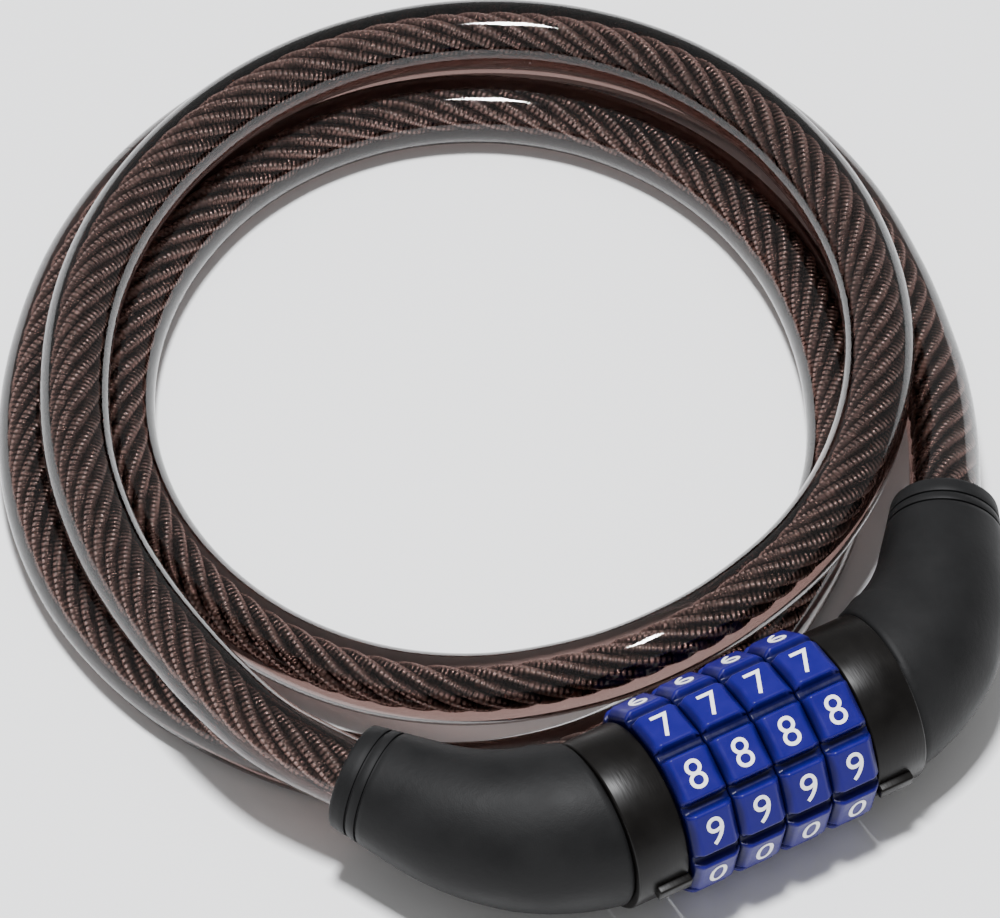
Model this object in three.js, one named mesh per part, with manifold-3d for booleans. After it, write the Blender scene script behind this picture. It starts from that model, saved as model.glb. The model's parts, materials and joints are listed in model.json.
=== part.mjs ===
// Coiled cable lock with four number dials, in millimetres, +Z up.
// The lock body lies along X with its dials in the middle, and the cable coils round behind it, towards +Y.
import * as THREE from "three";
import { mergeVertices } from "three/addons/utils/BufferGeometryUtils.js";
import Module from "manifold-3d";

const wasm = await Module();
wasm.setup();

// Dials
const dialCount = 4;
const dialPitch = 8.8;
const dialGap = 0.3;
const digitCount = 10;
const padDistance = 16.2; // lock axis to the flat of a digit pad
const padHalfWidth = 3.9;
const valleyRadius = 15.0;
const rimBevel = 1.1;
const dialBore = 12.3;

// Lock body
const axisHeight = 16.52; // the pads' lowest edges touch the table
const boltAxisY = -7.8; // puts the middle of the body, boots included, over the origin
const codeAngle = 102; // degrees from straight up, over the front, to the code line
const clearance = 0.3; // between pieces that touch, turn or slide
const collarRadius = 14.6;
const collarLength = 9.3;
const ridgeLength = 6.2;
const ridgeWidth = 2.6;
const ridgeHeight = 1.4;
const flangeRadius = 11;
const barrelRadius = 5;
const barrelBore = 3.2;
const pinRadius = 2.9;
const lugWidth = 2.4;
const lugReach = 7;
const lugLength = 3;
const wheelRadius = 12;
const wheelWidth = 8.2;
const wheelWeb = 3.2;
const wheelRecess = 7.8; // radius of the recess that each lug rests in

// Elbow boots, each swept along a spine that turns from one heading to another
const bootTilt = 3; // degrees that both boots rise towards the coil
const bootOffset = 0.8;
const bootStartHeading = 14;
const bootEndHeading = 57;
const bootArc = 27.5;
const bootSquaring = 12; // the sections turn from square with the collar to square with the spine
const bootLength = 41;
const bootCableDepth = 20;
const ferruleLength = 17;
const ferruleRadius = 5.8;
const crossPinRadius = 1.4;
const crossPinPlace = 6.8; // along the boot from the collar
const earWidth = 6.4;
const earThickness = 2.3;

// Cable
const cableDiameter = 12;
const ropeDiameter = 5.2;
const sleeveBore = 6;
const coilCentre = new THREE.Vector2(8, 97); // measured from the lock axis
// Degrees turned clockwise from the front, radius and height of the cable's middle
const coilStations = [
  [52.5, 91, 18.7], [60, 86.8, 19], [67, 83, 18.7],
  [76, 79.1, 18], [86, 75.8, 17.3], [100, 72.3, 16.7], [115, 69.8, 16.5],
  [130, 68.9, 16.8], [145, 68.8, 17.1], [160, 69.5, 17.2], [175, 70.9, 17],
  [190, 72.5, 16.6], [205, 73.5, 16.5], [220, 73.7, 16.5], [235, 72.9, 16.5],
  [250, 71.1, 16.7], [265, 69.1, 17.2], [280, 67.6, 17.9], [295, 66.9, 18.5],
  [310, 66.9, 18.7], [325, 67.7, 18.8], [340, 69, 18.8], [355, 70.4, 18.7],
  [365, 71.1, 17.9], [375, 70.6, 15.5], [390, 69.1, 11.6], [405, 67.3, 8.6],
  [420, 65.7, 7], [435, 64.4, 6.3], [450, 63.4, 6], [465, 62.8, 6],
  [480, 62.4, 6], [495, 62.5, 6], [510, 63.1, 6], [525, 64.1, 6],
  [540, 65, 6], [555, 65.5, 6], [570, 65.3, 6], [585, 64.4, 6],
  [600, 62.9, 6], [615, 61.3, 6], [630, 60, 6], [645, 59.5, 6],
  [660, 60.2, 6], [675, 62.2, 6], [690, 64.8, 6], [702, 67.8, 6],
  [712, 71.2, 6], [722, 74.8, 6], [731, 77.8, 6], [741, 81, 6],
  [752, 83.4, 6], [764, 84.4, 6], [776, 84.1, 6], [790, 83.2, 6],
  [805, 81.5, 6], [820, 79.3, 6], [835, 77.2, 6], [850, 75.9, 6],
  [865, 76.2, 6], [880, 77.3, 6], [895, 78.6, 6], [910, 79.9, 6],
  [925, 80.8, 6], [940, 80.9, 6], [955, 80, 6], [970, 78.3, 6],
  [985, 76.2, 6.1], [1000, 74.6, 6.7], [1012, 74.8, 8.2], [1022, 76.4, 10.5],
  [1032, 79, 13.6], [1039, 81.6, 16.2],
];
const tailStation = [880, 77.3, 6]; // from here on the cable follows the plug
const sleeveSides = 10;
const ropeSides = 8;
const cableStep = 14;
const cableEndStep = 4; // inside the boots, where the cable turns sharply

const black = new THREE.MeshStandardMaterial({ color: 0x161618, roughness: 0.55 });
const collarBlack = new THREE.MeshStandardMaterial({ color: 0x0f0e0c, roughness: 0.3 });
const blue = new THREE.MeshStandardMaterial({ color: 0x1c2fa8, roughness: 0.3 });
const sleeveBrown = new THREE.MeshStandardMaterial({ color: 0x2e2320, roughness: 0.15 });
const steel = new THREE.MeshStandardMaterial({ color: 0x9a948c, roughness: 0.35, metalness: 1 });
const zinc = new THREE.MeshStandardMaterial({ color: 0x8d8f92, roughness: 0.5, metalness: 1 });
const brass = new THREE.MeshStandardMaterial({ color: 0xb08d4a, roughness: 0.4, metalness: 1 });

// Solids

function solidOf(geometry) {
  const plain = geometry.clone();
  plain.deleteAttribute("normal");
  plain.deleteAttribute("uv");
  const merged = mergeVertices(plain, 1e-4);
  return new wasm.Manifold(
    new wasm.Mesh({
      numProp: 3,
      vertProperties: new Float32Array(merged.attributes.position.array),
      triVerts: new Uint32Array(merged.index.array),
    }),
  );
}

function geometryOf(solid) {
  const mesh = solid.getMesh();
  const geometry = new THREE.BufferGeometry();
  geometry.setAttribute("position", new THREE.BufferAttribute(mesh.vertProperties, 3));
  geometry.setIndex(new THREE.BufferAttribute(mesh.triVerts, 1));
  return geometry;
}

function cut(geometry, ...tools) {
  return geometryOf(tools.reduce((solid, tool) => solid.subtract(solidOf(tool)), solidOf(geometry)));
}

function join(geometry, ...additions) {
  return geometryOf(additions.reduce((solid, more) => solid.add(solidOf(more)), solidOf(geometry)));
}

// A turned solid along +X. The profile is a closed loop of [x, radius], or starts and ends on the axis.
function turned(profile, segments = 32) {
  const points = profile.map(([x, radius]) => new THREE.Vector2(radius, x));
  return new THREE.LatheGeometry(points, segments).rotateZ(-Math.PI / 2);
}

function ring(from, to, inner, outer, chamfer = 0, segments = 32) {
  const profile = [[from, inner], [from, outer - chamfer]];
  if (chamfer) profile.push([from + chamfer, outer], [to - chamfer, outer]);
  profile.push([to, outer - chamfer], [to, inner], [from, inner]);
  return turned(profile, segments);
}

function rod(from, to, radius, chamfer = 0, segments = 24) {
  const profile = [[from, 0], [from, radius - chamfer]];
  if (chamfer) profile.push([from + chamfer, radius], [to - chamfer, radius]);
  profile.push([to, radius - chamfer], [to, 0]);
  return turned(profile, segments);
}

function block(from, to) {
  const size = to.map((value, i) => value - from[i]);
  const middle = to.map((value, i) => (value + from[i]) / 2);
  return new THREE.BoxGeometry(...size).translate(...middle);
}

// Turns a piece that points up so that it points at the given angle from straight up.
function facing(geometry, degrees) {
  return geometry.rotateX(THREE.MathUtils.degToRad(degrees));
}

function dialCentre(index) {
  return (index - (dialCount + 1) / 2) * dialPitch;
}

// Dials

function dialOutline() {
  const outline = new THREE.Shape();
  const step = (2 * Math.PI) / digitCount;
  const padCorner = Math.atan2(padHalfWidth, padDistance);
  const cornerRadius = Math.hypot(padHalfWidth, padDistance);
  const corners = [];
  for (let i = 0; i < digitCount; i++) {
    const middle = i * step;
    corners.push([middle - padCorner, cornerRadius], [middle + padCorner, cornerRadius]);
    corners.push([middle + step / 2 - 0.04, valleyRadius], [middle + step / 2 + 0.04, valleyRadius]);
  }
  outline.setFromPoints(corners.map(([a, r]) => new THREE.Vector2(r * Math.cos(a), r * Math.sin(a))));
  return outline;
}

function makeDial() {
  const width = dialPitch - dialGap;
  const crest = Math.hypot(padHalfWidth, padDistance);
  const body = new THREE.ExtrudeGeometry(dialOutline(), { depth: width, bevelEnabled: false });
  body.translate(0, 0, -width / 2).rotateY(Math.PI / 2);
  const envelope = ring(-width / 2, width / 2, dialBore, crest + 0.15, rimBevel, 30);
  return geometryOf(solidOf(facing(body, codeAngle)).intersect(solidOf(envelope)));
}

function makeCodeWheel() {
  const half = wheelWidth / 2;
  const webStart = half - wheelWeb;
  const bore = barrelRadius + clearance;
  const wheel = turned([
    [-half, wheelRecess], [-half, wheelRadius], [half, wheelRadius],
    [half, bore], [webStart, bore], [webStart, wheelRecess], [-half, wheelRecess],
  ], 24);
  const gateWidth = lugWidth + 2 * clearance;
  const gate = block([webStart - 1, -gateWidth / 2, 0], [half + 1, gateWidth / 2, lugReach + clearance]);
  const flutes = [];
  for (let i = 0; i < digitCount; i++) {
    const flute = rod(-half - 1, webStart, 0.9, 0, 6).translate(0, 0, wheelRecess);
    flutes.push(facing(flute, codeAngle + 180 + (360 / digitCount) * i));
  }
  return cut(wheel, facing(gate, codeAngle), ...flutes);
}

// A bent leaf on the barrel whose crest clicks into the wheel's flutes
function makeDetentSpring() {
  const thickness = 0.4;
  const middle = [[-3.3, 4.5], [-1.3, 6.2], [-0.45, 7.85], [0.45, 7.85], [1.3, 6.2], [3.3, 4.5]];
  const outer = middle.map(([y, z]) => new THREE.Vector2(y, z + thickness / 2));
  const inner = middle.map(([y, z]) => new THREE.Vector2(y, z - thickness / 2)).reverse();
  const leaf = new THREE.ExtrudeGeometry(new THREE.Shape([...outer, ...inner]), {
    depth: 2.4,
    bevelEnabled: false,
  });
  // The shape's x becomes Y, its y becomes Z and the depth runs along X.
  leaf.applyMatrix4(new THREE.Matrix4().set(0, 0, 1, -3, 1, 0, 0, 0, 0, 1, 0, 0, 0, 0, 0, 1));
  return facing(leaf, codeAngle + 180);
}

// Lock body

const dialsHalf = (dialCount * dialPitch) / 2;
const collarStart = dialsHalf + clearance;
const collarEnd = collarStart + collarLength;
const bootStart = collarEnd + 0.2;
const barrelEnd = dialsHalf + 1.9;

function bootSpine(s) {
  const first = THREE.MathUtils.degToRad(bootStartHeading);
  const last = THREE.MathUtils.degToRad(bootEndHeading);
  const radius = bootArc / (last - first);
  const heading = s < bootArc ? first + s / radius : last;
  const beyond = Math.max(0, s - bootArc);
  return {
    x: bootStart + radius * (Math.sin(heading) - Math.sin(first)) + beyond * Math.cos(heading),
    y: bootOffset + radius * (Math.cos(first) - Math.cos(heading)) + beyond * Math.sin(heading),
    heading,
  };
}

// Bends a solid turned along +X, with x = 0 at the collar, so that it follows the boot's spine.
function alongBoot(geometry) {
  const place = geometry.attributes.position;
  for (let i = 0; i < place.count; i++) {
    const along = place.getX(i);
    const side = place.getY(i);
    const { x, y, heading } = bootSpine(along);
    const lean = heading * Math.min(1, along / bootSquaring);
    place.setXYZ(i, x - side * Math.sin(lean), y + side * Math.cos(lean), place.getZ(i));
  }
  return geometry;
}

function makeBoot() {
  const bore = cableDiameter / 2 + clearance;
  const cavity = flangeRadius + clearance;
  const cavityEnd = bootLength - bootCableDepth - 5;
  return alongBoot(
    turned(
      [
        [0, cavity], [0, 14], [0.4, 14.4], [4, 14.3], [8, 13.9], [12, 13.4], [16.5, 12.75],
        [21, 12.05], [25.5, 11.4], [30, 10.7], [35.5, 9.85], [35.6, 9.35], [36, 9.3], [36.1, 9.75],
        [37.5, 9.55], [37.6, 9.05], [38, 9], [38.1, 9.45], [bootLength - 0.4, 9.1], [bootLength, 8.7],
        [bootLength, bore], [bootLength - 7, bore], [bootLength - 14, bore], [bootLength - bootCableDepth, bore],
        [cavityEnd, cavity - 3], [12, cavity - 1], [8, cavity], [4, cavity], [0, cavity],
      ],
      24,
    ),
  );
}

function makeFerrule() {
  const start = 3.5;
  const end = start + ferruleLength;
  const bore = ropeDiameter / 2 + clearance;
  const barrel = alongBoot(
    turned(
      [
        [start, 0], [start, ferruleRadius - 1], [start + 1, ferruleRadius], [8, ferruleRadius],
        [12, ferruleRadius], [16, ferruleRadius], [end, ferruleRadius], [end, bore],
        [16, bore], [12, bore], [start + 6.5, bore], [start + 6.5, 0],
      ],
      16,
    ),
  );
  const hole = crossPin(crossPinRadius + clearance, ferruleRadius + 1);
  return cut(barrel, hole);
}

// The pin stands across the bend plane, through the ferrule's solid end.
function crossPin(radius, halfLength) {
  const { x, y } = bootSpine(crossPinPlace);
  return new THREE.CylinderGeometry(radius, radius, 2 * halfLength, 16).rotateX(Math.PI / 2).translate(x, y, 0);
}

// The two ears on a metal body that hold the cross pin
function ears() {
  const { x, y } = bootSpine(crossPinPlace);
  const inside = ferruleRadius + clearance;
  const outside = inside + earThickness;
  return [-1, 1].map((side) => {
    const low = side > 0 ? inside : -outside;
    const ear = block(
      [bootStart - 2, y - earWidth / 2, low],
      [x + 3, y + earWidth / 2, low + earThickness],
    );
    return cut(ear, crossPin(crossPinRadius + clearance / 2, outside + 1));
  });
}

function makeCollar(recess) {
  const bore = flangeRadius + clearance;
  const body = recess
    ? turned([
        [collarStart, wheelRadius + 0.5], [collarStart, collarRadius - 0.3], [collarStart + 0.3, collarRadius],
        [collarEnd - 0.3, collarRadius], [collarEnd, collarRadius - 0.3], [collarEnd, bore],
        [collarStart + 2.6, bore], [collarStart + 2.6, wheelRadius + 0.5], [collarStart, wheelRadius + 0.5],
      ])
    : ring(collarStart, collarEnd, bore, collarRadius, 0.3);
  const ridge = block(
    [collarStart, -ridgeWidth / 2, collarRadius - 1],
    [collarStart + ridgeLength, ridgeWidth / 2, collarRadius + ridgeHeight],
  );
  return join(body, facing(ridge, codeAngle));
}

// The barrel that carries the dials, with the flange that fills the socket side's collar
function makeBarrel() {
  const flangeStart = -(bootStart - clearance);
  const body = turned([
    [flangeStart, 0], [flangeStart, flangeRadius], [-collarStart, flangeRadius],
    [-collarStart, barrelRadius], [barrelEnd, barrelRadius], [barrelEnd, barrelBore],
    [-collarStart, barrelBore], [-collarStart, 0],
  ]);
  const slotWidth = lugWidth + 2 * clearance;
  const slot = block(
    [-dialsHalf, -slotWidth / 2, 0],
    [barrelEnd + 1, slotWidth / 2, barrelRadius + 1],
  );
  return cut(body, facing(slot, codeAngle));
}

function makeRetainingWasher() {
  const washer = ring(dialsHalf + 0.35, dialsHalf + 1.35, barrelRadius + clearance, 9.5, 0, 24);
  const gap = block([dialsHalf, -lugWidth / 2 - clearance, 0], [barrelEnd, lugWidth / 2 + clearance, 12]);
  return cut(washer, facing(gap, codeAngle));
}

function makeLockingPin() {
  const pin = rod(-dialsHalf + 0.6, collarStart + 7, pinRadius, 0.8);
  const lugs = [];
  for (let i = 1; i <= dialCount; i++) {
    const start = dialCentre(i) - 2.6;
    lugs.push(
      facing(block([start, -lugWidth / 2, 0], [start + lugLength, lugWidth / 2, lugReach]), codeAngle),
    );
  }
  return join(pin, ...lugs);
}

function makePlugBody() {
  const start = collarStart + 3.2;
  const end = bootStart - clearance;
  const socketBottom = collarStart + 7 + clearance;
  const bore = pinRadius + clearance;
  return turned([
    [start, bore], [start, flangeRadius], [end, flangeRadius], [end, 0],
    [socketBottom, 0], [socketBottom, bore], [start, bore],
  ]);
}

// Cable

function bootPoint(s, side) {
  const { x, y } = bootSpine(s);
  const tilt = THREE.MathUtils.degToRad(bootTilt);
  return new THREE.Vector3(side * x, y * Math.cos(tilt), axisHeight + y * Math.sin(tilt));
}

function coilPoint([turn, radius, height]) {
  const angle = THREE.MathUtils.degToRad(turn);
  return new THREE.Vector3(
    coilCentre.x - radius * Math.sin(angle),
    coilCentre.y - radius * Math.cos(angle),
    height,
  );
}

const ropeDepth = bootLength - 11.2; // the bare rope runs on past the sleeve into each ferrule
const cableEnds = [bootLength - ropeDepth, 16, 22, 28, 35, bootLength + 1];
const socketEnd = cableEnds.map((s) => bootPoint(s, -1));
const plugEnd = cableEnds.map((s) => bootPoint(s, 1)).reverse();
const cablePath = new THREE.CatmullRomCurve3(
  [...socketEnd, ...coilStations.map(coilPoint), ...plugEnd],
  false,
  "centripetal",
);
cablePath.arcLengthDivisions = 4000;
const cableLength = cablePath.getLength();

// The stretch of the cable between two distances along it, as a curve of its own
class Stretch extends THREE.Curve {
  constructor(from, to) {
    super();
    this.from = from;
    this.to = to;
  }

  getPoint(t, target) {
    return cablePath.getPointAt((this.from + (this.to - this.from) * t) / cableLength, target);
  }
}

function ngon(diameter, sides) {
  return Array.from({ length: sides }, (_, i) => {
    const angle = (2 * Math.PI * (i + 0.5)) / sides;
    return new THREE.Vector2((diameter / 2) * Math.cos(angle), (diameter / 2) * Math.sin(angle));
  });
}

function sleeveAlong(from, to, step = cableStep) {
  const section = new THREE.Shape(ngon(cableDiameter, sleeveSides));
  section.holes.push(new THREE.Path(ngon(sleeveBore, sleeveSides)));
  return sweep(section, from, to, step);
}

function ropeAlong(from, to, step = cableStep) {
  return sweep(new THREE.Shape(ngon(ropeDiameter, ropeSides)), from, to, step);
}

function sweep(section, from, to, step) {
  return new THREE.ExtrudeGeometry(section, {
    steps: Math.ceil((to - from) / step),
    extrudePath: new Stretch(from, to),
  });
}

// Distance along the cable of its nearest point to a place
function distanceTo(place) {
  let best = 0;
  let nearest = Infinity;
  for (let i = 0; i <= 4000; i++) {
    const gap = cablePath.getPointAt(i / 4000).distanceTo(place);
    if (gap < nearest) [nearest, best] = [gap, (i / 4000) * cableLength];
  }
  return best;
}

// The object

const object = new THREE.Group();

function add(parent, name, geometry, material) {
  const mesh = new THREE.Mesh(geometry, material);
  mesh.name = name;
  parent.add(mesh);
}

const lock = new THREE.Group();
lock.position.set(0, 0, axisHeight);
object.add(lock);

const plugBoots = new THREE.Group();
plugBoots.rotation.x = THREE.MathUtils.degToRad(bootTilt);
const socketBoots = plugBoots.clone();
socketBoots.scale.x = -1;
lock.add(plugBoots, socketBoots);

for (const [side, group] of [["socket", socketBoots], ["plug", plugBoots]]) {
  add(group, side + "_boot", makeBoot(), black);
  add(group, side + "_ferrule", makeFerrule(), steel);
  add(group, side + "_cross_pin", crossPin(crossPinRadius, ferruleRadius + 2.5), steel);
}

// Ears are made on the boots' tilted side and joined to the metal bodies.
function tilted(geometry, side) {
  if (side < 0) geometry = geometryOf(solidOf(geometry).mirror([1, 0, 0]));
  return facing(geometry, bootTilt);
}

add(lock, "barrel", join(makeBarrel(), ...ears().map((ear) => tilted(ear, -1))), zinc);
add(lock, "plug_body", join(makePlugBody(), ...ears().map((ear) => tilted(ear, 1))), zinc);
add(lock, "plug_collar", makeCollar(true), collarBlack);
const socketCollar = new THREE.Group();
socketCollar.scale.x = -1;
lock.add(socketCollar);
add(socketCollar, "socket_collar", makeCollar(false), collarBlack);
add(lock, "retaining_washer", makeRetainingWasher(), steel);
add(lock, "locking_pin", makeLockingPin(), steel);
for (let i = 1; i <= dialCount; i++) {
  const x = dialCentre(i);
  add(lock, "dial_" + i, makeDial().translate(x, 0, 0), blue);
  add(lock, "code_wheel_" + i, makeCodeWheel().translate(x, 0, 0), brass);
  add(lock, "detent_spring_" + i, makeDetentSpring().translate(x, 0, 0), steel);
}

const tailFrom = distanceTo(coilPoint(tailStation));
const mouth = ropeDepth - 1; // distance from the rope's end to where the cable leaves a boot
const sleeveInset = ropeDepth - bootCableDepth + 0.6;
const stretches = [
  ["", mouth + clearance, tailFrom],
  ["_tail", tailFrom + clearance, cableLength - mouth],
];
for (const [suffix, from, to] of stretches) {
  add(object, "cable_sleeve" + suffix, sleeveAlong(from, to), sleeveBrown);
  add(object, "wire_rope" + suffix, ropeAlong(from, to), steel);
}
add(object, "socket_sleeve_end", sleeveAlong(sleeveInset, mouth, cableEndStep), sleeveBrown);
add(object, "socket_rope_end", ropeAlong(0, mouth, cableEndStep), steel);
const plugFrom = cableLength - mouth + clearance;
add(object, "plug_sleeve_end", sleeveAlong(plugFrom, cableLength - sleeveInset, cableEndStep), sleeveBrown);
add(object, "plug_rope_end", ropeAlong(plugFrom, cableLength, cableEndStep), steel);

object.position.y = boltAxisY;

export default object;
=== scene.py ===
import json
from math import atan2, ceil, cos, hypot, pi, radians, sin, sqrt

import bmesh
import bpy
from mathutils import Matrix, Vector


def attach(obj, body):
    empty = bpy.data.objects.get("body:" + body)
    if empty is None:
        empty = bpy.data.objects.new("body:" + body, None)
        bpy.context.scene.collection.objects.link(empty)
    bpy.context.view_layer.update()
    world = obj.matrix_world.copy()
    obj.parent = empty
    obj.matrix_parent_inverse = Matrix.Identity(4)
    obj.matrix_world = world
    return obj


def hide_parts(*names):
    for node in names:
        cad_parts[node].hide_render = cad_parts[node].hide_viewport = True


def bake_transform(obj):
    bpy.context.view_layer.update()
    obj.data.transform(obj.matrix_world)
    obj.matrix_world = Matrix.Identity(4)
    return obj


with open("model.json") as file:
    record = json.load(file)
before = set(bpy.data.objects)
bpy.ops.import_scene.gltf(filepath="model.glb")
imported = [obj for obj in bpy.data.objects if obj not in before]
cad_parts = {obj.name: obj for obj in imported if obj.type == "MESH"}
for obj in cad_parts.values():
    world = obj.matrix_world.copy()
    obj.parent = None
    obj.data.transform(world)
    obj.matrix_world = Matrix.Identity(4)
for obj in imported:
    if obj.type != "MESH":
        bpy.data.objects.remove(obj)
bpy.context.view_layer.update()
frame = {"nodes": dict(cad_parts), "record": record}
mm = 0.001

# the lock's axis runs along X, and the coil lies behind it
lockAxis = Vector((0, -7.8, 16.52)) * mm


# camera, floor and light
stage = {
    "target": Vector((-1.654, 75.285, 0)) * mm + lockAxis,
    "azimuth": -29.918,
    "elevation": 50,
    "distance": 1.5,
    "lens": 321.2,
    "floorTone": 0.93,
    "floorSize": 3,
    "worldTone": 0.42,
}
overhead = {
    "place": Vector((-0.09, 0.025, 1.3)),
    "aim": Vector((0, 0.06, 0.01)),
    "size": (0.2, 0.2),
    "watts": 37,
    "tone": (0.97, 0.98, 1),
}


def makeCamera():
    turn, rise = radians(stage["azimuth"]), radians(stage["elevation"])
    back = Vector((sin(turn) * cos(rise), -cos(turn) * cos(rise), sin(rise)))
    data = bpy.data.cameras.new("camera")
    data.lens = stage["lens"]
    data.sensor_width = 36
    data.clip_end = 20
    camera = bpy.data.objects.new("camera", data)
    bpy.context.scene.collection.objects.link(camera)
    camera.location = stage["target"] + back * stage["distance"]
    camera.rotation_euler = back.to_track_quat("Z", "Y").to_euler()
    bpy.context.scene.camera = camera


def makeLight():
    data = bpy.data.lights.new("overhead", "AREA")
    data.shape = "RECTANGLE"
    data.size, data.size_y = overhead["size"]
    data.energy = overhead["watts"]
    data.color = overhead["tone"]
    light = bpy.data.objects.new("overhead", data)
    bpy.context.scene.collection.objects.link(light)
    light.location = overhead["place"]
    back = overhead["place"] - overhead["aim"]
    light.rotation_euler = back.to_track_quat("Z", "Y").to_euler()


def makeStudio():
    world = bpy.data.worlds.new("studio")
    bpy.context.scene.world = world
    world.use_nodes = True
    tone = stage["worldTone"]
    world.node_tree.nodes["Background"].inputs[0].default_value = (tone, tone, tone, 1)
    makeLight()
    bm = bmesh.new()
    bmesh.ops.create_grid(bm, x_segments=8, y_segments=8, size=stage["floorSize"])
    floor = finished(bm, "floor", floorMaterial())


# objects and materials


def finished(bm, name, material, smooth=0):
    mesh = bpy.data.meshes.new(name)
    bm.to_mesh(mesh)
    bm.free()
    piece = bpy.data.objects.new(name, mesh)
    bpy.context.scene.collection.objects.link(piece)
    mesh.materials.append(material)
    if smooth:
        mesh.shade_smooth()
        mesh.set_sharp_from_angle(angle=radians(smooth))
    return piece


class Paint:
    def __init__(self, name, roughness, metal=0.0):
        self.material = bpy.data.materials.new(name)
        self.material.use_nodes = True
        self.tree = self.material.node_tree
        self.shader = self.tree.nodes["Principled BSDF"]
        self.set("Roughness", roughness)
        self.set("Metallic", metal)
        self.coords = self.add("ShaderNodeTexCoord").outputs["Object"]

    def add(self, kind, **values):
        node = self.tree.nodes.new(kind)
        for key, value in values.items():
            if key in node.inputs:
                node.inputs[key].default_value = value
            else:
                setattr(node, key, value)
        return node

    def set(self, socket, value):
        self.shader.inputs[socket].default_value = value

    def link(self, source, target):
        self.tree.links.new(source, target)
        return target

    def stretched(self, scale, coords=None):
        node = self.add("ShaderNodeMapping", Scale=scale)
        self.link(coords or self.coords, node.inputs["Vector"])
        return node.outputs["Vector"]

    # noise with features of the given size in metres
    def noise(self, size, detail=2.0, coords=None):
        node = self.add("ShaderNodeTexNoise", Scale=1 / size, Detail=detail)
        self.link(coords or self.coords, node.inputs["Vector"])
        return node.outputs["Fac"]

    def calculate(self, operation, first, second=None):
        node = self.add("ShaderNodeMath")
        node.operation = operation
        for socket, value in zip(node.inputs, (first, second)):
            if isinstance(value, (int, float)):
                socket.default_value = value
            elif value is not None:
                self.link(value, socket)
        return node.outputs[0]

    def spread(self, value, low, high, fromLow=0.35, fromHigh=0.65):
        node = self.add("ShaderNodeMapRange")
        self.link(value, node.inputs["Value"])
        node.inputs["From Min"].default_value = fromLow
        node.inputs["From Max"].default_value = fromHigh
        node.inputs["To Min"].default_value = low
        node.inputs["To Max"].default_value = high
        return node.outputs["Result"]

    def colours(self, value, stops, target="Base Color"):
        node = self.add("ShaderNodeValToRGB")
        ramp = node.color_ramp
        while len(ramp.elements) < len(stops):
            ramp.elements.new(0.5)
        for element, (place, tone) in zip(ramp.elements, stops):
            element.position = place
            element.color = (*tone, 1)
        self.link(value, node.inputs["Fac"])
        self.link(node.outputs["Color"], self.shader.inputs[target])

    def bump(self, height, depth, strength=1.0, under=None):
        node = self.add("ShaderNodeBump", Distance=depth, Strength=strength)
        self.link(height, node.inputs["Height"])
        if under is not None:
            self.link(under, node.inputs["Normal"])
        self.link(node.outputs["Normal"], self.shader.inputs["Normal"])
        return node.outputs["Normal"]


def floorMaterial():
    paint = Paint("paleFloor", 0.6)
    tone = stage["floorTone"]
    paint.colours(paint.noise(0.4), [(0.3, (tone,) * 3), (0.7, (tone * 0.985,) * 3)])
    return paint.material


def bootRubber():
    paint = Paint("bootRubber", 0.4)
    cloud = paint.noise(0.009, 3)
    paint.colours(cloud, [(0.3, (0.007, 0.007, 0.0073)), (0.7, (0.011, 0.011, 0.0113))])
    paint.link(paint.spread(cloud, 0.5, 0.6), paint.shader.inputs["Roughness"])
    paint.set("Specular IOR Level", 0.13)
    ripple = paint.bump(paint.noise(0.0012, 2), 0.00004)
    paint.bump(paint.noise(0.00022, 3), 0.00003, 0.8, ripple)
    return paint.material


def collarPlastic():
    paint = Paint("collarPlastic", 0.28)
    cloud = paint.noise(0.006, 2)
    paint.colours(cloud, [(0.3, (0.0030, 0.0026, 0.0024)), (0.7, (0.005, 0.0044, 0.004))])
    paint.link(paint.spread(cloud, 0.30, 0.42), paint.shader.inputs["Roughness"])
    paint.set("Specular IOR Level", 0.16)
    lathe = paint.noise(0.0004, 1, paint.stretched((1, 0.15, 0.15)))
    paint.bump(lathe, 0.00002)
    return paint.material


def dialBlue():
    paint = Paint("dialBlue", 0.2)
    cloud = paint.noise(0.003, 3)
    centred = paint.add("ShaderNodeVectorMath")
    centred.operation = "SUBTRACT"
    centred.inputs[1].default_value = lockAxis
    paint.link(paint.coords, centred.inputs[0])
    radial = paint.add("ShaderNodeVectorMath")
    radial.operation = "MULTIPLY"
    radial.inputs[1].default_value = (0, 1, 1)
    paint.link(centred.outputs["Vector"], radial.inputs[0])
    reach = paint.add("ShaderNodeVectorMath")
    reach.operation = "LENGTH"
    paint.link(radial.outputs["Vector"], reach.inputs[0])
    # painted shade: darker colour in the valleys and on the slopes than on the pads
    depth = paint.spread(reach.outputs["Value"], 0, 0.85, dials["valley"], dials["flat"])
    shade = paint.calculate("ADD", depth, paint.calculate("MULTIPLY", cloud, 0.2))
    tones = [(0.1, (0.0015, 0.0015, 0.032)), (0.6, (0.005, 0.0032, 0.072)), (0.98, (0.010, 0.006, 0.14))]
    paint.colours(shade, tones)
    paint.set("Subsurface Weight", 0.15)
    paint.set("Subsurface Radius", (0.2, 0.4, 1.0))
    paint.set("Subsurface Scale", 0.0008)
    paint.set("Specular IOR Level", 0.16)
    paint.link(paint.spread(cloud, 0.28, 0.42), paint.shader.inputs["Roughness"])
    paint.bump(paint.noise(0.0012, 2), 0.00003)
    return paint.material


def digitWhite():
    paint = Paint("digitWhite", 0.45)
    wear = paint.noise(0.0007, 3)
    paint.colours(wear, [(0.25, (0.84, 0.85, 0.88)), (0.5, (0.94, 0.94, 0.95))])
    paint.bump(paint.noise(0.0002, 2), 0.00001)
    return paint.material


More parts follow.
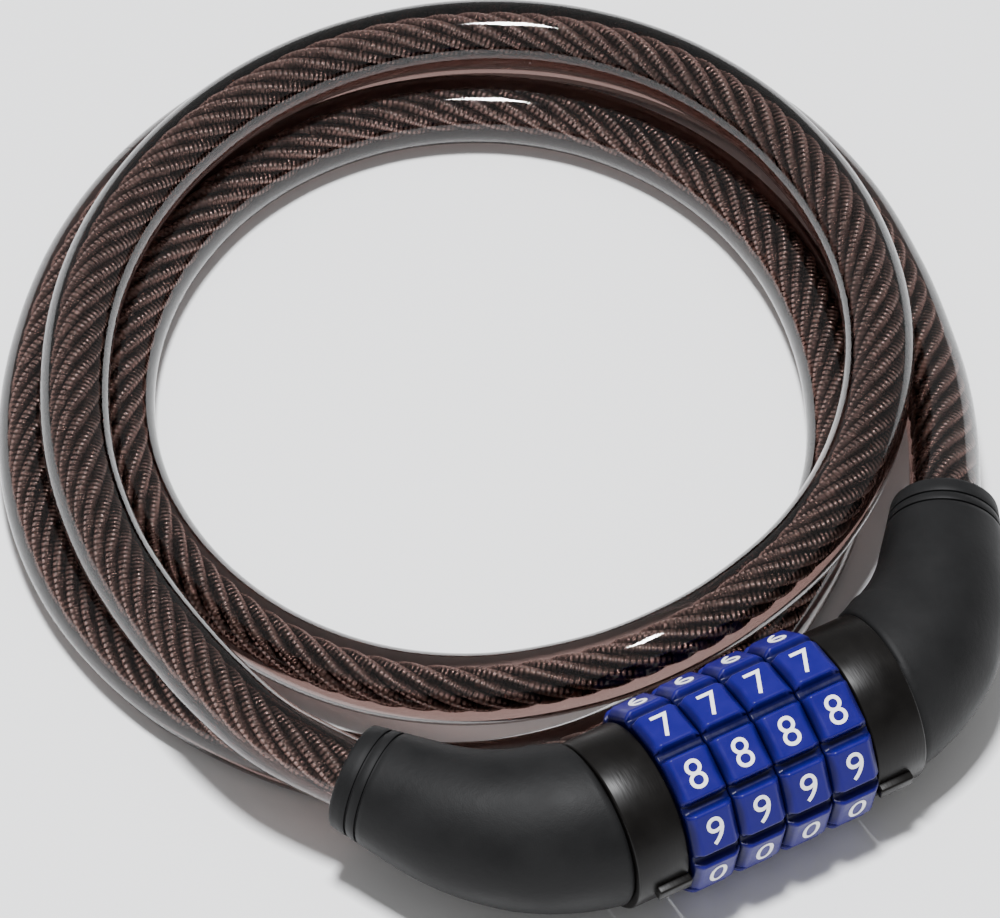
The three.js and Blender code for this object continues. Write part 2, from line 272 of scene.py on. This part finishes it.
def sleevePlastic():
    paint = Paint("sleevePlastic", 0.03)
    paint.set("IOR", 1.47)
    paint.set("Transmission Weight", 1.0)
    paint.colours(paint.noise(0.02, 2), [(0.3, (0.92, 0.88, 0.86)), (0.7, (1, 0.97, 0.95))])
    paint.bump(paint.noise(0.006, 1), 0.00001)
    inside = paint.add("ShaderNodeVolumeAbsorption", Density=285.0)
    inside.inputs["Color"].default_value = (0.42, 0.28, 0.25, 1)
    output = paint.tree.nodes["Material Output"]
    paint.link(inside.outputs["Volume"], output.inputs["Volume"])
    return paint.material


def ropeSteel():
    paint = Paint("ropeSteel", 0.28, 1.0)
    uv = paint.add("ShaderNodeUVMap", uv_map="strands")
    parts = paint.add("ShaderNodeSeparateXYZ")
    paint.link(uv.outputs["UV"], parts.inputs[0])
    across, along = parts.outputs["X"], parts.outputs["Y"]
    # 0 on a strand's crest and 0.5 in the groove beside it
    shifted = paint.calculate("ADD", across, 0.5)
    place = paint.calculate("FRACT", paint.calculate("DIVIDE", shifted, rope["pointsPerStrand"]))
    groove = paint.calculate("ABSOLUTE", paint.calculate("SUBTRACT", place, 0.5))
    climb = paint.calculate("MULTIPLY", along, 2 * pi / rope["wirePitch"])
    slant = paint.calculate("MULTIPLY", across, 1.2)
    wires = paint.calculate("ADD", climb, slant)
    wave = paint.calculate("SINE", wires)
    # 0 where a wire crosses a crest and a painted glint goes
    crest = paint.spread(groove, 0, 1, 0.05, 0.12)
    painted_glint_mask = paint.calculate("MAXIMUM", crest, paint.spread(wave, 1, 0, 0.1, 0.8))
    # painted shade darkens the grooves and painted glints brighten the wire crests
    painted_shade_and_glints = paint.calculate("MULTIPLY", paint.spread(groove, 0.25, 1, 0, 0.5), painted_glint_mask)
    paint.colours(painted_shade_and_glints, [
        (0.0, (1, 0.98, 0.97)), (0.25, (0.86, 0.76, 0.72)),
        (0.6, (0.56, 0.46, 0.43)), (1.0, (0.03, 0.022, 0.02)),
    ])
    paint.link(paint.spread(paint.noise(0.003), 0.2, 0.35), paint.shader.inputs["Roughness"])
    paint.bump(wave, 0.00007)
    return paint.material


def turnedMetal(name, light, dark, roughness):
    paint = Paint(name, roughness, 1.0)
    grooves = paint.noise(0.0003, 2, paint.stretched((1, 0.08, 0.08)))
    paint.colours(paint.noise(0.003, 3), [(0.3, dark), (0.7, light)])
    paint.link(paint.spread(grooves, roughness * 0.8, roughness * 1.3), paint.shader.inputs["Roughness"])
    paint.bump(grooves, 0.000005)
    return paint.material


def castZinc():
    paint = Paint("castZinc", 0.45, 1.0)
    paint.colours(paint.noise(0.002, 3), [(0.3, (0.40, 0.41, 0.43)), (0.7, (0.56, 0.57, 0.59))])
    paint.bump(paint.noise(0.0003, 3), 0.00003)
    return paint.material


# cable
boot = {
    "start": 27.4 * mm,
    "offset": 0.8 * mm,
    "startHeading": radians(14),
    "endHeading": radians(57),
    "arc": 27.5 * mm,
    "squaring": 12 * mm,
    "length": 41 * mm,
    "tilt": radians(3),
}
cable = {
    "diameter": 12 * mm,
    "centre": Vector((8, 97)) * mm,  # of the coil, from the lock's axis
    "ends": [11.2, 16, 22, 28, 35, 42],  # mm along each boot
    "seam": (880, 77.3, 6),  # turn, radius and height where the tail part begins
    "seamGap": 0.02 * mm,
    "step": 1.5 * mm,
    "sides": 32,
    "sleeveStart": 21.5 * mm,  # along the boot
}
rope = {
    "radius": 2.6 * mm,
    "strands": 6,
    "pointsPerStrand": 8,
    "overlap": 1.03,
    "lay": 32 * mm,
    "wirePitch": 0.85,  # mm between the wires seen on a strand
    "step": 1 * mm,
}
# degrees turned clockwise from the front, radius and height of the cable's middle in millimetres
coilStations = [
    (52.5, 91, 18.7), (60, 86.8, 19), (67, 83, 18.7),
    (76, 79.1, 18), (86, 75.8, 17.3), (100, 72.3, 16.7), (115, 69.8, 16.5),
    (130, 68.9, 16.8), (145, 68.8, 17.1), (160, 69.5, 17.2), (175, 70.9, 17),
    (190, 72.5, 16.6), (205, 73.5, 16.5), (220, 73.7, 16.5), (235, 72.9, 16.5),
    (250, 71.1, 16.7), (265, 69.1, 17.2), (280, 67.6, 17.9), (295, 66.9, 18.5),
    (310, 66.9, 18.7), (325, 67.7, 18.8), (340, 69, 18.8), (355, 70.4, 18.7),
    (365, 71.1, 17.9), (375, 70.6, 15.5), (390, 69.1, 11.6), (405, 67.3, 8.6),
    (420, 65.7, 7), (435, 64.4, 6.3), (450, 63.4, 6), (465, 62.8, 6),
    (480, 62.4, 6), (495, 62.5, 6), (510, 63.1, 6), (525, 64.1, 6),
    (540, 65, 6), (555, 65.5, 6), (570, 65.3, 6), (585, 64.4, 6),
    (600, 62.9, 6), (615, 61.3, 6), (630, 60, 6), (645, 59.5, 6),
    (660, 60.2, 6), (675, 62.2, 6), (690, 64.8, 6), (702, 67.8, 6),
    (712, 71.2, 6), (722, 74.8, 6), (731, 77.8, 6), (741, 81, 6),
    (752, 83.4, 6), (764, 84.4, 6), (776, 84.1, 6), (790, 83.2, 6),
    (805, 81.5, 6), (820, 79.3, 6), (835, 77.2, 6), (850, 75.9, 6),
    (865, 76.2, 6), (880, 77.3, 6), (895, 78.6, 6), (910, 79.9, 6),
    (925, 80.8, 6), (940, 80.9, 6), (955, 80, 6), (970, 78.3, 6),
    (985, 76.2, 6.1), (1000, 74.6, 6.7), (1012, 74.8, 8.2), (1022, 76.4, 10.5),
    (1032, 79, 13.6), (1039, 81.6, 16.2),
]


def bootSpine(s):
    first, last = boot["startHeading"], boot["endHeading"]
    radius = boot["arc"] / (last - first)
    heading = first + s / radius if s < boot["arc"] else last
    beyond = max(0, s - boot["arc"])
    x = boot["start"] + radius * (sin(heading) - sin(first)) + beyond * cos(heading)
    y = boot["offset"] + radius * (cos(first) - cos(heading)) + beyond * sin(heading)
    return x, y, heading


def bootPoint(s, side):
    x, y, _ = bootSpine(s)
    return lockAxis + Vector((side * x, y * cos(boot["tilt"]), y * sin(boot["tilt"])))


def coilPoint(turn, radius, height):
    angle = radians(turn)
    x = cable["centre"].x - radius * mm * sin(angle)
    y = cable["centre"].y + lockAxis.y - radius * mm * cos(angle)
    return Vector((x, y, height * mm))


# a smooth curve through the points, as many steps to each span
def smoothCurve(points, steps=24):
    ends = [2 * points[0] - points[1], *points, 2 * points[-1] - points[-2]]
    line = []
    for a, b, c, d in zip(ends, ends[1:], ends[2:], ends[3:]):
        ta = 0
        tb = ta + sqrt((b - a).length)
        tc = tb + sqrt((c - b).length)
        td = tc + sqrt((d - c).length)
        for i in range(steps):
            t = tb + (tc - tb) * i / steps
            ab = a.lerp(b, (t - ta) / (tb - ta))
            bc = b.lerp(c, (t - tb) / (tc - tb))
            cd = c.lerp(d, (t - tc) / (td - tc))
            abc = ab.lerp(bc, (t - ta) / (tc - ta))
            bcd = bc.lerp(cd, (t - tb) / (td - tb))
            line.append(abc.lerp(bcd, (t - tb) / (tc - tb)))
    line.append(points[-1].copy())
    return line


class Route:
    def __init__(self, line):
        self.line = line
        self.reach = [0]
        for a, b in zip(line, line[1:]):
            self.reach.append(self.reach[-1] + (b - a).length)
        self.length = self.reach[-1]

    def at(self, distance):
        low, high = 0, len(self.line) - 1
        while high - low > 1:
            middle = (low + high) // 2
            if self.reach[middle] <= distance:
                low = middle
            else:
                high = middle
        share = (distance - self.reach[low]) / (self.reach[high] - self.reach[low])
        return self.line[low].lerp(self.line[high], share)

    def nearest(self, place):
        return min(zip(self.line, self.reach), key=lambda pair: (pair[0] - place).length)[1]

    def stretch(self, start, end, step):
        count = max(2, ceil((end - start) / step))
        return [self.at(start + (end - start) * i / count) for i in range(count + 1)]


def cableRoute():
    ends = [s * mm for s in cable["ends"]]
    points = [bootPoint(s, -1) for s in ends]
    points += [coilPoint(*station) for station in coilStations]
    points += [bootPoint(s, 1) for s in reversed(ends)]
    return Route(smoothCurve(points))


# a closed tube along the points, whose section turns with the distance travelled
def sweepTube(name, points, section, material, pitch=0, startAt=0, strandsUv=False):
    bm = bmesh.new()
    uv = bm.loops.layers.uv.new("strands") if strandsUv else None
    tangent = (points[1] - points[0]).normalized()
    side = tangent.cross(Vector((0, 0, 1))).normalized()
    travelled = startAt
    rings = []
    for i, place in enumerate(points):
        ahead = (points[min(i + 1, len(points) - 1)] - points[max(i - 1, 0)]).normalized()
        side = side - ahead * side.dot(ahead)
        side.normalize()
        up = ahead.cross(side)
        if i:
            travelled += (place - points[i - 1]).length
        turn = 2 * pi * travelled / pitch if pitch else 0
        ring = []
        for angle, radius in section:
            direction = side * cos(angle + turn) + up * sin(angle + turn)
            ring.append(bm.verts.new(place + direction * radius))
        rings.append((ring, travelled))
    sides = len(section)
    for (near, s0), (far, s1) in zip(rings, rings[1:]):
        for j in range(sides):
            k = (j + 1) % sides
            face = bm.faces.new((near[j], near[k], far[k], far[j]))
            if uv:
                corners = [(j, s0), (j + 1, s0), (j + 1, s1), (j, s1)]
                for loop, (across, along) in zip(face.loops, corners):
                    loop[uv].uv = (across, along / mm)
    bm.faces.new(reversed(rings[0][0]))
    bm.faces.new(rings[-1][0])
    return finished(bm, name, material, smooth=70)


def roundSection(radius, sides):
    return [(2 * pi * i / sides, radius) for i in range(sides)]


# strands that touch each other round a core
def strandSection():
    half = pi / rope["strands"]
    strand = rope["radius"] * sin(half) / (1 + sin(half)) * rope["overlap"]
    centre = rope["radius"] - strand
    section = []
    for i in range(rope["strands"]):
        for j in range(rope["pointsPerStrand"]):
            across = (2 * (j + 0.5) / rope["pointsPerStrand"] - 1) * half
            drop = strand**2 - (centre * sin(across)) ** 2
            section.append((2 * half * i + across, centre * cos(across) + sqrt(drop)))
    return section


def makeCable():
    route = cableRoute()
    seam = route.nearest(coilPoint(*cable["seam"]))
    sleeve, steel = sleevePlastic(), ropeSteel()
    inBoot = cable["sleeveStart"] - cable["ends"][0] * mm
    mouth = boot["length"] - cable["ends"][0] * mm
    gap = cable["seamGap"]
    tube = roundSection(cable["diameter"] / 2, cable["sides"])
    strands = strandSection()
    socketPath = route.stretch(inBoot, seam - gap, cable["step"])
    plugPath = route.stretch(seam + gap, route.length - inBoot, cable["step"])
    socketSleeve = sweepTube("cableSleeve", socketPath, tube, sleeve)
    plugSleeve = sweepTube("cableSleeveTail", plugPath, tube, sleeve)
    ropeLine = route.stretch(0, seam - gap, rope["step"])
    tailLine = route.stretch(seam + gap, route.length, rope["step"])
    socketRope = sweepTube("wireRope", ropeLine, strands, steel, rope["lay"], 0, True)
    plugRope = sweepTube("wireRopeTail", tailLine, strands, steel, rope["lay"], seam, True)
    for piece in (socketSleeve, socketRope):
        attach(piece, "socket_half")
    for piece in (plugSleeve, plugRope):
        bendEnd = route.at(route.length - mouth)
        route.at(seam)
        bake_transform(piece)
    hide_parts("cable_sleeve", "socket_sleeve_end")
    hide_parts("wire_rope", "socket_rope_end")
    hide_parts("cable_sleeve_tail", "plug_sleeve_end")
    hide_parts("wire_rope_tail", "plug_rope_end")
    route.at(mouth)
    route.at(route.length - mouth)
    print(f"cable laid: {route.length - 2 * mouth:.3f} m between the boots")


# elbow boots
bootShell = {
    "profile": [  # mm along the boot and from its middle
        (0, 11.6), (0, 13.95), (0.45, 14.38), (3, 14.34), (6, 14.13), (9, 13.8), (12, 13.4), (15, 12.96),
        (18, 12.52), (21, 12.06), (24, 11.62), (27, 11.15), (30, 10.68), (33, 10.22),
        (35.45, 9.84), (35.58, 9.72), (35.62, 9.35), (35.98, 9.3), (36.02, 9.66), (36.15, 9.74),
        (37.45, 9.54), (37.58, 9.42), (37.62, 9.05), (37.98, 9), (38.02, 9.36), (38.15, 9.44),
        (40.4, 9.1), (40.8, 8.98), (41, 8.7), (41, 6.45), (40.7, 6.3), (34, 6.3), (27, 6.3), (21, 6.3),
        (16, 8.3), (12, 10.3), (8, 11.3), (4, 11.3), (0, 11.6),
    ],
    "segments": 72,
    "longest": 1.2 * mm,
}


def spun(profile, segments):
    bm = bmesh.new()
    verts = [bm.verts.new((x, 0, r)) for x, r in profile[:-1]]
    x, r = profile[-1]
    verts.append(verts[0] if profile[-1] == profile[0] else bm.verts.new((x, 0, r)))
    edges = [bm.edges.new(pair) for pair in zip(verts, verts[1:])]
    bmesh.ops.spin(
        bm, geom=list(dict.fromkeys(verts)) + edges, cent=(0, 0, 0), axis=(1, 0, 0),
        angle=2 * pi, steps=segments, use_merge=True, use_duplicate=False,
    )
    bmesh.ops.remove_doubles(bm, verts=bm.verts, dist=1e-7)
    bmesh.ops.recalc_face_normals(bm, faces=bm.faces)
    return bm


# profile points close enough together for the boot to bend smoothly
def refined(profile, longest):
    fine = [profile[0]]
    for (x0, r0), (x1, r1) in zip(profile, profile[1:]):
        parts = max(1, ceil(hypot(x1 - x0, r1 - r0) / longest))
        fine += [(x0 + (x1 - x0) * i / parts, r0 + (r1 - r0) * i / parts) for i in range(1, parts)]
        fine.append((x1, r1))
    return fine


def alongBoot(bm, side):
    tilt = Matrix.Rotation(boot["tilt"], 3, "X")
    for vert in bm.verts:
        along, across, up = vert.co
        x, y, heading = bootSpine(along)
        lean = heading * min(1, along / boot["squaring"])
        bent = Vector((x - across * sin(lean), y + across * cos(lean), up))
        bent = tilt @ bent
        bent.x *= side
        vert.co = bent + lockAxis
    if side < 0:
        bmesh.ops.reverse_faces(bm, faces=bm.faces)


def makeBoots(material):
    profile = refined([(x * mm, r * mm) for x, r in bootShell["profile"]], bootShell["longest"])
    for side, half in ((-1, "socket"), (1, "plug")):
        bm = spun(profile, bootShell["segments"])
        alongBoot(bm, side)
        piece = finished(bm, half + "BootShell", material, smooth=50)
        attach(piece, half + "_half")
        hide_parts(half + "_boot")
    print("boots bent")


# dials
dials = {
    "count": 4,
    "pitch": 8.8 * mm,
    "width": 8.7 * mm,
    "flat": 16.2 * mm,  # from the axis to a digit pad
    "halfPad": 3.85 * mm,
    "valley": 15.02 * mm,
    "bore": 12.3 * mm,
    "rim": 15.45 * mm,  # how far the pads reach at a dial's two faces
    "rimWidth": 1.25 * mm,
    "valleyHalf": 0.04,  # half of a valley's floor, as an angle
    "firstDigit": 102,  # degrees from straight up, over the front
    "digitStep": 36,
    "digitHeight": 5.05 * mm,
    "capRatio": 0.69,  # a digit's height in a font of size 1
    "digitExtrude": 0.06 * mm,
    "digitBevel": 0.03 * mm,
    "stroke": -0.05 * mm,
    "rounding": 0.45 * mm,
    "roundAbove": 14,  # degrees between two faces
}


def dialCentre(index):
    return (index - (dials["count"] + 1) / 2) * dials["pitch"]


def padOutline():
    outline = []
    corner = atan2(dials["halfPad"], dials["flat"])
    crest = hypot(dials["halfPad"], dials["flat"])
    for i in range(10):
        middle = radians(dials["firstDigit"] + dials["digitStep"] * i)
        floor = middle + radians(dials["digitStep"] / 2)
        outline += [(middle - corner, crest), (middle + corner, crest)]
        for edge in (floor - dials["valleyHalf"], floor + dials["valleyHalf"]):
            outline.append((edge, dials["valley"]))
    return outline


def around(x, angle, radius):
    return lockAxis + Vector((x, -radius * sin(angle), radius * cos(angle)))


def makeDial(index, material):
    middle, half = dialCentre(index), dials["width"] / 2
    outline = padOutline()
    stations = [(-half, dials["rim"]), (-half + dials["rimWidth"], 1), (half - dials["rimWidth"], 1)]
    stations += [(half, dials["rim"]), (half, dials["bore"]), (-half, dials["bore"]), (-half, dials["rim"])]
    bm = bmesh.new()
    corner = bm.verts.layers.int.new("corner")
    ring = [bm.verts.new() for _ in outline]
    for number, vert in enumerate(ring):
        vert[corner] = number
    edges = [bm.edges.new(pair) for pair in zip(ring, ring[1:] + ring[:1])]
    for step, (x, limit) in enumerate(stations):
        if step:
            made = bmesh.ops.extrude_edge_only(bm, edges=edges)["geom"]
            ring = [part for part in made if isinstance(part, bmesh.types.BMVert)]
            edges = [part for part in made if isinstance(part, bmesh.types.BMEdge) and part.is_boundary]
        for vert in ring:
            angle, radius = outline[vert[corner]]
            reach = dials["bore"] if limit == dials["bore"] else min(radius, limit)
            vert.co = around(middle + x, angle, reach)
    bmesh.ops.remove_doubles(bm, verts=bm.verts, dist=1e-6)
    bmesh.ops.recalc_face_normals(bm, faces=bm.faces)
    piece = finished(bm, f"numberDial{index}", material, smooth=dials["roundAbove"])
    edge = piece.modifiers.new("edge", "BEVEL")
    edge.width = dials["rounding"]
    edge.segments = 3
    edge.limit_method = "ANGLE"
    edge.angle_limit = radians(dials["roundAbove"])
    edge.harden_normals = True
    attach(piece, f"dial_{index}_body")
    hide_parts(f"dial_{index}")


def digitMesh(digit):
    text = bpy.data.curves.new("digit", "FONT")
    text.body = str(digit)
    text.align_x = "CENTER"
    text.size = dials["digitHeight"] / dials["capRatio"]
    text.offset = dials["stroke"]
    text.extrude = dials["digitExtrude"]
    text.bevel_depth = dials["digitBevel"]
    text.bevel_resolution = 1
    text.resolution_u = 6
    holder = bpy.data.objects.new("digit", text)
    bpy.context.scene.collection.objects.link(holder)
    bpy.context.view_layer.update()
    mesh = bpy.data.meshes.new_from_object(holder.evaluated_get(bpy.context.evaluated_depsgraph_get()))
    bpy.data.objects.remove(holder)
    bpy.data.curves.remove(text)
    low = Vector([min(v.co[i] for v in mesh.vertices) for i in range(3)])
    high = Vector([max(v.co[i] for v in mesh.vertices) for i in range(3)])
    mesh.transform(Matrix.Translation(-(low + high) / 2))
    return mesh


def makeDigits(material):
    shapes = [digitMesh(digit) for digit in range(10)]
    for index in range(1, dials["count"] + 1):
        bm = bmesh.new()
        for digit, shape in enumerate(shapes):
            angle = radians(dials["firstDigit"] + dials["digitStep"] * digit)
            outward = Vector((0, -sin(angle), cos(angle)))
            upward = Vector((0, cos(angle), sin(angle)))
            place = Matrix((Vector((1, 0, 0)), upward, outward)).transposed().to_4x4()
            place.translation = around(dialCentre(index), angle, dials["flat"])
            copy = shape.copy()
            copy.transform(place)
            bm.from_mesh(copy)
            bpy.data.meshes.remove(copy)
        bmesh.ops.remove_doubles(bm, verts=bm.verts, dist=1e-6)
        piece = finished(bm, f"dialDigits{index}", material)
        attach(piece, f"dial_{index}_body")
    for shape in shapes:
        bpy.data.meshes.remove(shape)


# collars
collar = {
    "start": 17.9,
    "end": 27.2,
    "radius": 14.6,
    "bore": 11.3,
    "recess": 12.5,
    "recessDepth": 2.6,
    "edge": 0.35,
    "edgeMiddle": 0.1,
    "segments": 96,
    "ridge": (6.2, 2.6, 1.4),  # length, width and height
    "ridgeSink": 0.4,
    "ridgeEdge": 0.35,
}


def makeCollars(material):
    a, b, r = collar["start"], collar["end"], collar["radius"]
    edge, middle = collar["edge"], collar["edgeMiddle"]
    floor = a + collar["recessDepth"]
    outside = [
        (a, r - edge), (a + middle, r - middle), (a + edge, r),
        (b - edge, r), (b - middle, r - middle), (b, r - edge),
    ]
    profiles = {
        "socket": [(a, collar["bore"]), *outside, (b, collar["bore"]), (a, collar["bore"])],
        "plug": [
            (a, collar["recess"]), *outside, (b, collar["bore"]), (floor, collar["bore"]),
            (floor, collar["recess"]), (a, collar["recess"]),
        ],
    }
    for side, half in ((-1, "socket"), (1, "plug")):
        bm = spun([(x * mm, radius * mm) for x, radius in profiles[half]], collar["segments"])
        for vert in bm.verts:
            vert.co = Vector((side * vert.co.x, vert.co.y, vert.co.z)) + lockAxis
        if side < 0:
            bmesh.ops.reverse_faces(bm, faces=bm.faces)
        piece = finished(bm, half + "CollarRing", material, smooth=50)
        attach(piece, half + "_half")
        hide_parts(half + "_collar")
        makeRidge(side, half, material)


def makeRidge(side, half, material):
    length, width, height = (value * mm for value in collar["ridge"])
    bm = bmesh.new()
    bmesh.ops.create_cube(bm, size=1)
    angle = radians(dials["firstDigit"])
    sink = collar["ridgeSink"] * mm
    rest = collar["radius"] * mm - sink
    turn = Matrix.Rotation(angle, 4, "X")
    for vert in bm.verts:
        x = side * (collar["start"] * mm + length * (vert.co.x + 0.5))
        z = rest + (height + sink) * (vert.co.z + 0.5)
        vert.co = turn @ Vector((x, vert.co.y * width, z)) + lockAxis
    bmesh.ops.recalc_face_normals(bm, faces=bm.faces)
    bmesh.ops.bevel(
        bm, geom=bm.edges[:], offset=collar["ridgeEdge"] * mm, segments=3,
        profile=0.5, affect="EDGES", material=-1,
    )
    piece = finished(bm, half + "CollarRidge", material, smooth=60)
    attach(piece, half + "_half")


# metal parts inside, each with its finish and the body in the record that holds it
innerParts = {
    "finishes": {
        "barrel": "zinc", "plug_body": "zinc", "locking_pin": "steel", "retaining_washer": "steel",
        "socket_ferrule": "steel", "plug_ferrule": "steel",
        "socket_cross_pin": "steel", "plug_cross_pin": "steel",
    },
    "smoothUnder": 38,  # degrees between two faces
}


def makeInnerParts():
    materials = {
        "steel": turnedMetal("turnedSteel", (0.62, 0.62, 0.63), (0.48, 0.48, 0.49), 0.28),
        "brass": turnedMetal("turnedBrass", (0.80, 0.62, 0.30), (0.66, 0.48, 0.20), 0.3),
        "zinc": castZinc(),
    }
    finishes = dict(innerParts["finishes"])
    for index in range(1, dials["count"] + 1):
        finishes[f"code_wheel_{index}"] = "brass"
        finishes[f"detent_spring_{index}"] = "steel"
    bodies = frame["record"]["behaviour"]["bodies"]
    for node, finish in finishes.items():
        bm = bmesh.new()
        bm.from_mesh(frame["nodes"][node].data)
        bmesh.ops.remove_doubles(bm, verts=bm.verts, dist=1e-6)
        bm.normal_update()
        for face in bm.faces:
            face.smooth = True
        for edge in bm.edges:
            edge.smooth = edge.calc_face_angle(0) < radians(innerParts["smoothUnder"])
        first, *rest = node.split("_")
        name = first + "".join(word.capitalize() for word in rest) + "Metal"
        piece = finished(bm, name, materials[finish])
        # the flat shading that came with the solid
        old = piece.data.attributes.get("custom_normal")
        if old:
            piece.data.attributes.remove(old)
        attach(piece, next(body for body, held in bodies.items() if node in held))
        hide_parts(node)


makeCamera()
makeStudio()
print("camera, floor and light set")
makeCable()
makeBoots(bootRubber())
makeCollars(collarPlastic())
blue, white = dialBlue(), digitWhite()
for dial in range(1, dials["count"] + 1):
    makeDial(dial, blue)
makeDigits(white)
print("dials and digits made")
makeInnerParts()
print("inner parts made")
